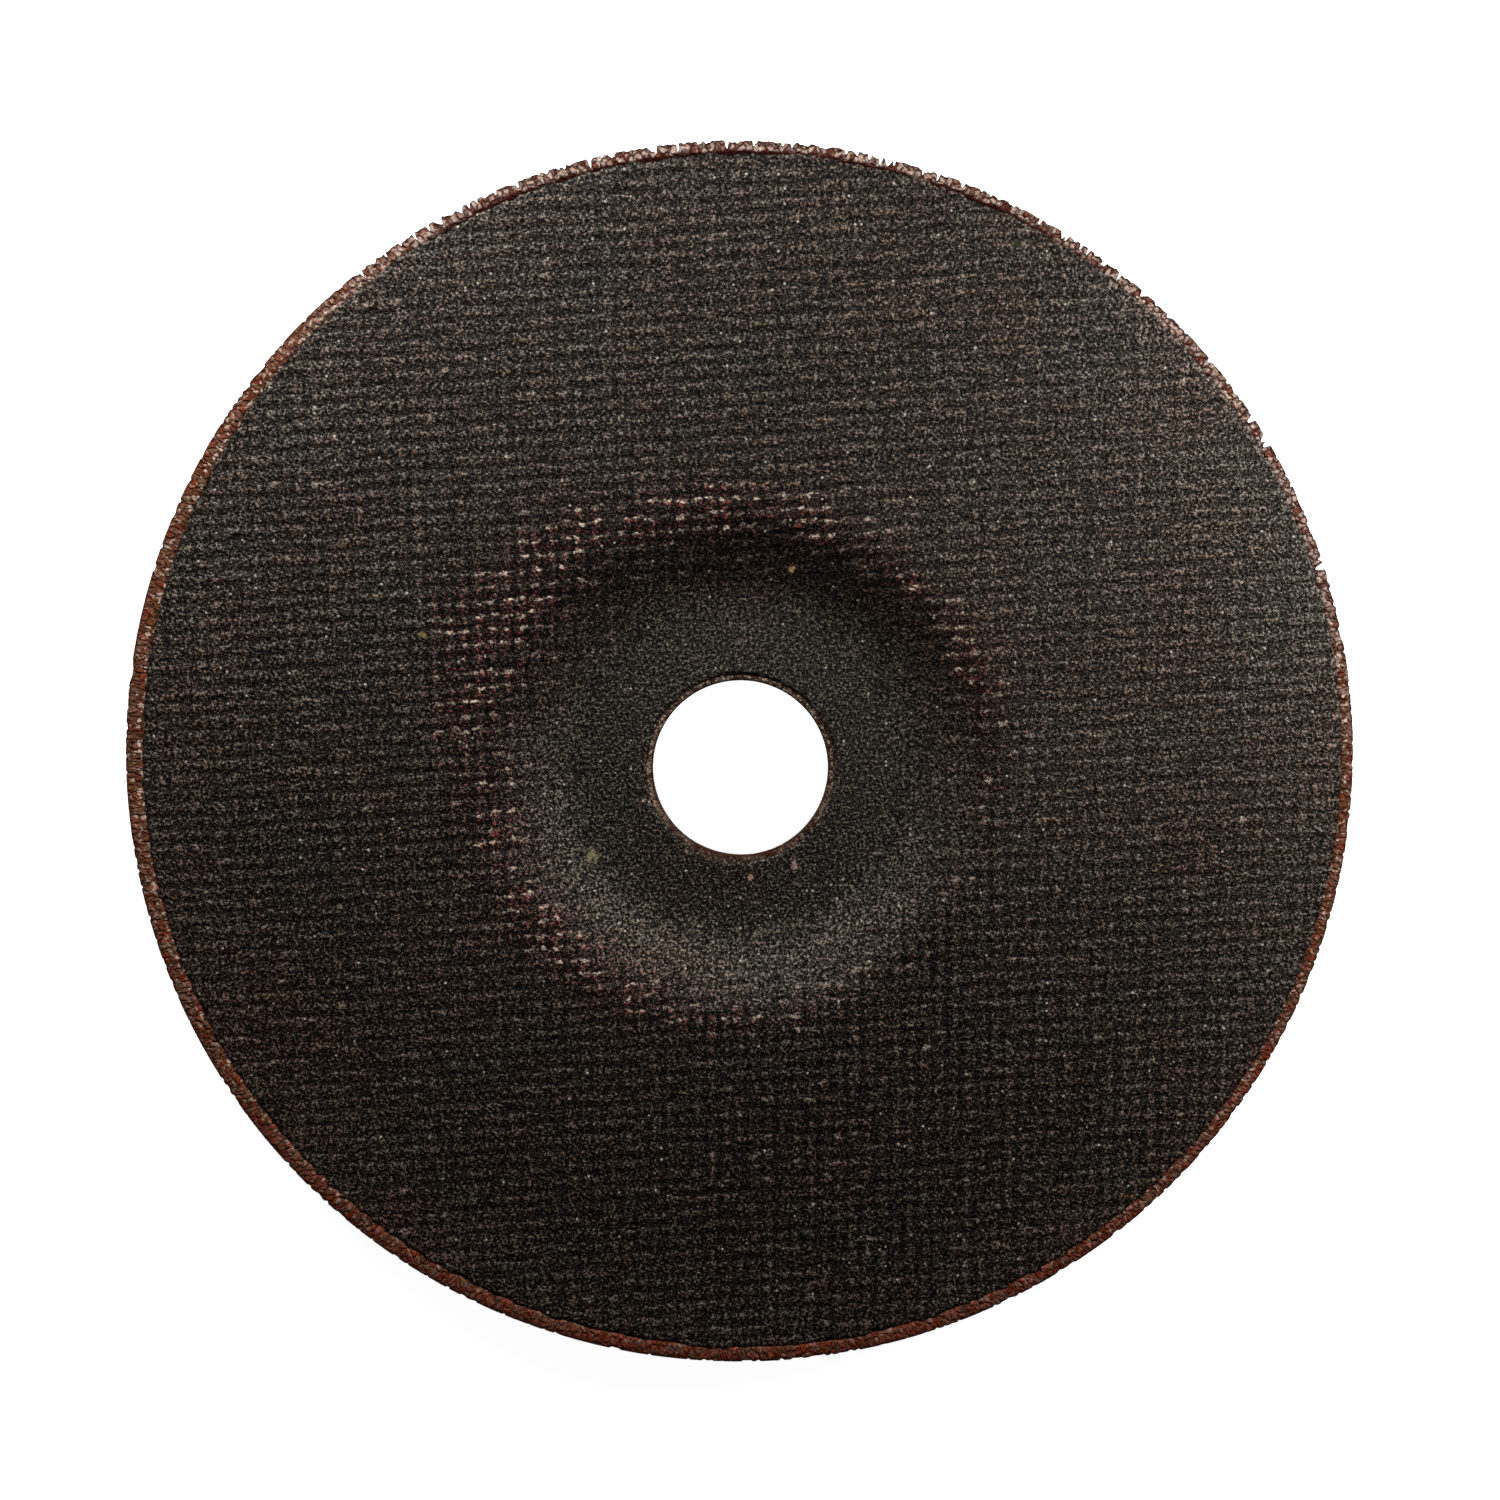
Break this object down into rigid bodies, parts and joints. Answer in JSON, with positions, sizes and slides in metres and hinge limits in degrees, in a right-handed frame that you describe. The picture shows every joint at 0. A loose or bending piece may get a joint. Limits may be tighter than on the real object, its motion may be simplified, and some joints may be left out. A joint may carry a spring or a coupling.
{
  "type": "cut-off wheel",
  "caption": "Depressed-centre cut-off wheel of resin-bonded abrasive with a woven cloth face, a raw chipped rim and a steel-lined bore.",
  "frame": {"origin": "on the bore's axis at the back of the hub, the lowest face", "axes": "+Z along the bore, out of the recessed side; the wheel is round about it, and the cloth's rows run 4 degrees off +X"},
  "size_m": [0.1524, 0.1524, 0.0076],
  "materials": {
    "abrasive": "black resin over woven glass cloth, gritty, with raw red-brown abrasive at the rim and bore",
    "steel": "zinc plated, dull"
  },
  "bodies": {
    "root": {"abrasive_disc": "abrasive", "arbor_ring": "steel"}
  },
  "joints": []
}
